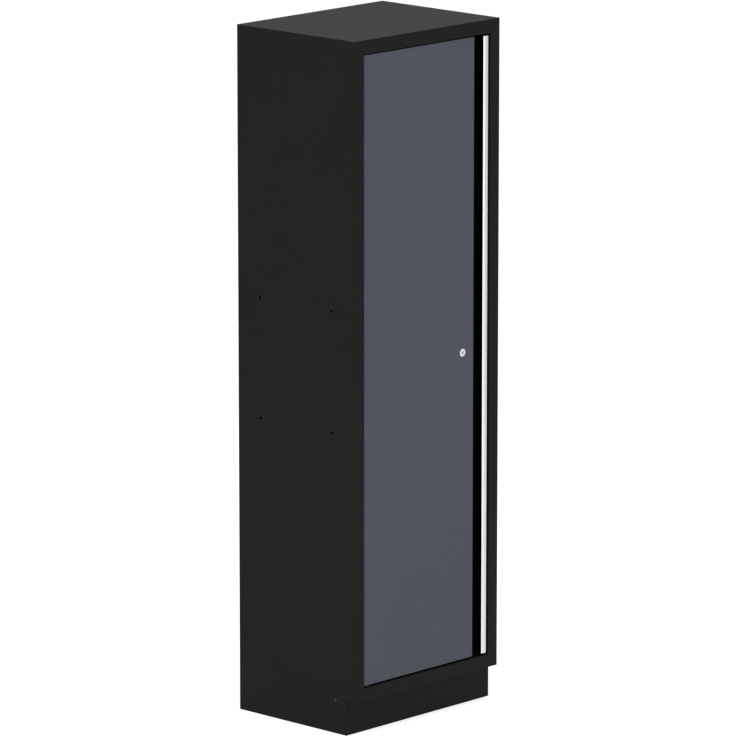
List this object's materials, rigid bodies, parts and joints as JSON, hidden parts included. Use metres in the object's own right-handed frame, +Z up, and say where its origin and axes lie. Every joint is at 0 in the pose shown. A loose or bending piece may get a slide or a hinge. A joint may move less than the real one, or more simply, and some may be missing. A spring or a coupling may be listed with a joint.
{
  "type": "tall storage cabinet",
  "caption": "Tall steel storage cabinet with one inset door, a full-height finger channel with pull strip, a round cam lock, inner shelves and a recessed plinth.",
  "frame": {"origin": "on the floor, under the middle of the cabinet's footprint", "axes": "+X to the right seen from the front, +Y to the back, +Z up"},
  "size_m": [0.6, 0.46, 2],
  "materials": {
    "black_powder_coat": "fine-grained satin black powder coat",
    "flat_black_paint": "flat black, almost without sheen",
    "black_zinc": "black-passivated zinc plate",
    "blue_grey_powder_coat": "smooth satin blue-grey powder coat",
    "anodised_aluminium": "satin clear anodised, nose cut bright",
    "nickel": "bright satin nickel plate",
    "dark_steel": "turned, dull hardened steel",
    "zinc_plated_steel": "bright zinc plate",
    "black_plastic": "moulded, lightly grained",
    "buffer_rubber": "soft matte",
    "magnet_strip": "bonded ferrite, dull"
  },
  "bodies": {
    "carcass": {"left_side_panel": "black_powder_coat", "right_side_panel": "black_powder_coat", "back_panel": "black_powder_coat", "top_panel": "black_powder_coat", "floor_panel": "black_powder_coat", "plinth_plate": "black_powder_coat", "upright_front_left": "black_powder_coat", "upright_front_right": "black_powder_coat", "upright_rear_left": "black_powder_coat", "upright_rear_right": "black_powder_coat", "shelf_1": "black_powder_coat", "shelf_2": "black_powder_coat", "shelf_3": "black_powder_coat", "shelf_4": "black_powder_coat", "plinth_screws": "black_zinc", "top_pivot_pin": "black_zinc", "bottom_pivot_pin": "black_zinc", "shelf_clips_1": "zinc_plated_steel", "shelf_clips_2": "zinc_plated_steel", "shelf_clips_3": "zinc_plated_steel", "shelf_clips_4": "zinc_plated_steel", "back_rivets": "zinc_plated_steel", "foot_nuts": "zinc_plated_steel", "foot_bracket_front_left": "zinc_plated_steel", "foot_bracket_front_right": "zinc_plated_steel", "foot_bracket_rear_left": "zinc_plated_steel", "foot_bracket_rear_right": "zinc_plated_steel", "pivot_washer": "black_plastic", "door_buffers": "buffer_rubber", "door_magnets": "magnet_strip"},
    "door": {"door_face": "blue_grey_powder_coat", "door_inner_panel": "black_powder_coat", "door_stiffener": "zinc_plated_steel", "grip_channel": "flat_black_paint", "pull_strip": "anodised_aluminium", "grip_cap_top": "flat_black_paint", "grip_cap_bottom": "flat_black_paint", "top_pivot_bush": "black_plastic", "bottom_pivot_bush": "black_plastic", "lock_housing": "nickel", "lock_nut": "zinc_plated_steel", "rod_guides_upper": "black_plastic", "rod_guides_lower": "black_plastic"},
    "lock_cylinder": {"lock_plug": "dark_steel", "lock_driver": "zinc_plated_steel", "driver_screw": "zinc_plated_steel"},
    "upper_lock_rod": {"lock_rod_upper": "zinc_plated_steel"},
    "lower_lock_rod": {"lock_rod_lower": "zinc_plated_steel"},
    "foot_front_left": {"foot_pad_front_left": "black_plastic", "foot_stud_front_left": "zinc_plated_steel"},
    "foot_front_right": {"foot_pad_front_right": "black_plastic", "foot_stud_front_right": "zinc_plated_steel"},
    "foot_rear_left": {"foot_pad_rear_left": "black_plastic", "foot_stud_rear_left": "zinc_plated_steel"},
    "foot_rear_right": {"foot_pad_rear_right": "black_plastic", "foot_stud_rear_right": "zinc_plated_steel"}
  },
  "joints": [
    {"name": "door_swing", "type": "hinge", "parent": "carcass", "child": "door", "pos_m": [-0.241, -0.217, 1.049], "axis": [0, 0, -1], "range_deg": [0, 120]},
    {"name": "lock_turn", "type": "hinge", "parent": "door", "child": "lock_cylinder", "pos_m": [0.1514, -0.2, 1.049], "axis": [0, 1, 0], "range_deg": [0, 90]},
    {"name": "upper_rod_slide", "type": "slide", "parent": "door", "child": "upper_lock_rod", "axis": [0, 0, 1], "range_m": [0, 0.02828]},
    {"name": "lower_rod_slide", "type": "slide", "parent": "door", "child": "lower_lock_rod", "axis": [0, 0, -1], "range_m": [0, 0.02828]},
    {"name": "foot_front_left_height", "type": "slide", "parent": "carcass", "child": "foot_front_left", "axis": [0, 0, -1], "range_m": [0, 0.02]},
    {"name": "foot_front_right_height", "type": "slide", "parent": "carcass", "child": "foot_front_right", "axis": [0, 0, -1], "range_m": [0, 0.02]},
    {"name": "foot_rear_left_height", "type": "slide", "parent": "carcass", "child": "foot_rear_left", "axis": [0, 0, -1], "range_m": [0, 0.02]},
    {"name": "foot_rear_right_height", "type": "slide", "parent": "carcass", "child": "foot_rear_right", "axis": [0, 0, -1], "range_m": [0, 0.02]}
  ],
  "couplings": [
    {"joint": "lock_turn", "follows": "upper_rod_slide", "rad_per_m": 55.53},
    {"joint": "lower_rod_slide", "follows": "upper_rod_slide", "ratio": 1}
  ]
}
